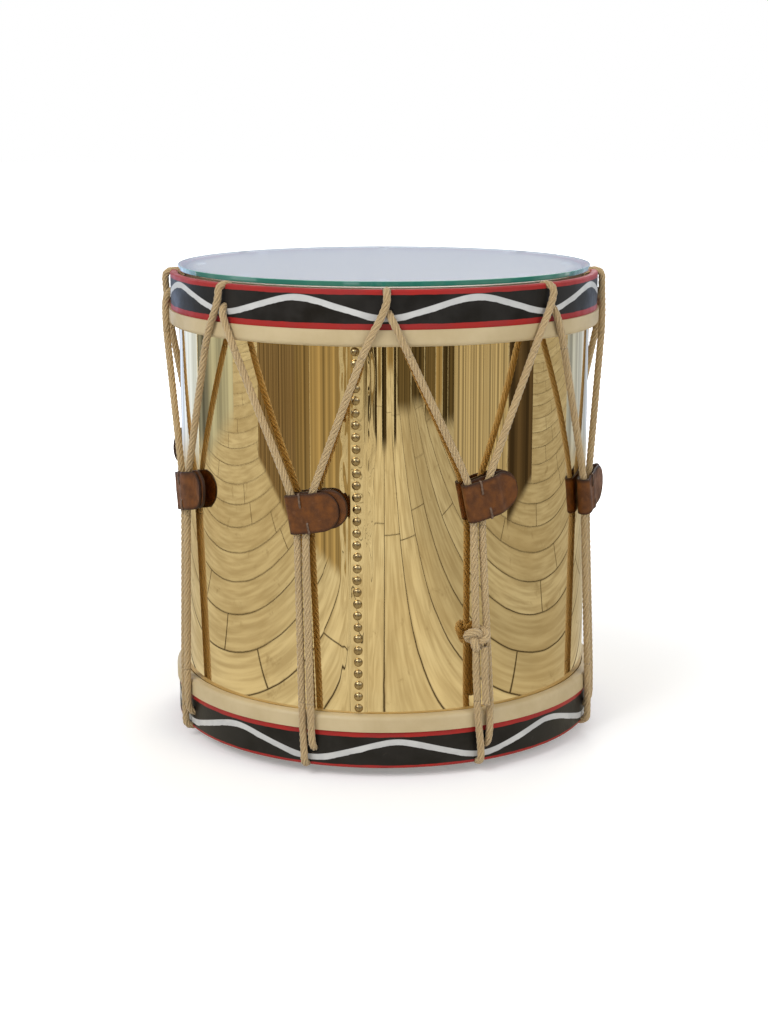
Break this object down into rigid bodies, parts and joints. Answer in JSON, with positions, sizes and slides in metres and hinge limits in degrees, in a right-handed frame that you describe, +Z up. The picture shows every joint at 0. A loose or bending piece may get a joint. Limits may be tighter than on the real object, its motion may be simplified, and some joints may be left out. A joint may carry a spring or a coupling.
{
  "type": "drum side table",
  "caption": "Drum-shaped side table: brass shell between painted hoops, laced with rope, sliding leather ears, loose round glass top.",
  "frame": {"origin": "on the floor under the middle of the drum", "axes": "+Z up, -Y towards the front, where the seam nails are"},
  "size_m": [0.5177, 0.5178, 0.544],
  "materials": {
    "glass": "polished, green at the edge",
    "clear_bumper": "satin",
    "vellum": "smooth cream skin, satin",
    "bare_wood": "bare",
    "painted_hoop": "gloss paint, red edges, black band, white wave",
    "plywood": "bare",
    "polished_brass": "mirror polished",
    "antique_brass": "aged",
    "foot_rubber": "matte",
    "screw_steel": "plated",
    "rope": "laid natural fibre",
    "ear_leather": "worn, waxed",
    "thong_leather": "dark lace"
  },
  "bodies": {
    "root": {"glass_bumpers": "clear_bumper", "top_head": "vellum", "bottom_head": "vellum", "top_flesh_hoop": "bare_wood", "bottom_flesh_hoop": "bare_wood", "top_counter_hoop": "painted_hoop", "bottom_counter_hoop": "painted_hoop", "top_bearing_ring": "plywood", "bottom_bearing_ring": "plywood", "top_board": "plywood", "bottom_board": "plywood", "shell_core": "plywood", "brass_shell": "polished_brass", "seam_nails": "antique_brass", "feet": "foot_rubber", "foot_screws": "screw_steel", "top_ring_screws": "screw_steel", "bottom_ring_screws": "screw_steel", "rope_top_turns": "rope", "rope_bottom_turns": "rope", "rope_knot": "rope", "rope_tail": "rope", "rope_upper_1": "rope", "rope_lower_1": "rope", "rope_upper_2": "rope", "rope_lower_2": "rope", "rope_upper_3": "rope", "rope_lower_3": "rope", "rope_upper_4": "rope", "rope_lower_4": "rope", "rope_upper_5": "rope", "rope_lower_5": "rope", "rope_upper_6": "rope", "rope_lower_6": "rope", "rope_upper_7": "rope", "rope_lower_7": "rope", "rope_upper_8": "rope", "rope_lower_8": "rope"},
    "glass": {"glass_top": "glass"},
    "ear_1": {"ear_1": "ear_leather", "ear_thong_1": "thong_leather"},
    "ear_2": {"ear_2": "ear_leather", "ear_thong_2": "thong_leather"},
    "ear_3": {"ear_3": "ear_leather", "ear_thong_3": "thong_leather"},
    "ear_4": {"ear_4": "ear_leather", "ear_thong_4": "thong_leather"},
    "ear_5": {"ear_5": "ear_leather", "ear_thong_5": "thong_leather"},
    "ear_6": {"ear_6": "ear_leather", "ear_thong_6": "thong_leather"},
    "ear_7": {"ear_7": "ear_leather", "ear_thong_7": "thong_leather"},
    "ear_8": {"ear_8": "ear_leather", "ear_thong_8": "thong_leather"}
  },
  "joints": [
    {"name": "glass_lift", "type": "slide", "parent": "root", "child": "glass", "axis": [0, 0, 1], "range_m": [0, 0.06]},
    {"name": "ear_slide_1", "type": "slide", "parent": "root", "child": "ear_1", "axis": [0, 0, 1], "range_m": [-0.165, 0], "deforming": ["rope_upper_1", "rope_lower_1"]},
    {"name": "ear_slide_2", "type": "slide", "parent": "root", "child": "ear_2", "axis": [0, 0, 1], "range_m": [-0.105, 0], "deforming": ["rope_upper_2", "rope_lower_2"]},
    {"name": "ear_slide_3", "type": "slide", "parent": "root", "child": "ear_3", "axis": [0, 0, 1], "range_m": [-0.165, 0], "deforming": ["rope_upper_3", "rope_lower_3"]},
    {"name": "ear_slide_4", "type": "slide", "parent": "root", "child": "ear_4", "axis": [0, 0, 1], "range_m": [-0.165, 0], "deforming": ["rope_upper_4", "rope_lower_4"]},
    {"name": "ear_slide_5", "type": "slide", "parent": "root", "child": "ear_5", "axis": [0, 0, 1], "range_m": [-0.165, 0], "deforming": ["rope_upper_5", "rope_lower_5"]},
    {"name": "ear_slide_6", "type": "slide", "parent": "root", "child": "ear_6", "axis": [0, 0, 1], "range_m": [-0.165, 0], "deforming": ["rope_upper_6", "rope_lower_6"]},
    {"name": "ear_slide_7", "type": "slide", "parent": "root", "child": "ear_7", "axis": [0, 0, 1], "range_m": [-0.165, 0], "deforming": ["rope_upper_7", "rope_lower_7"]},
    {"name": "ear_slide_8", "type": "slide", "parent": "root", "child": "ear_8", "axis": [0, 0, 1], "range_m": [-0.165, 0], "deforming": ["rope_upper_8", "rope_lower_8"]}
  ]
}
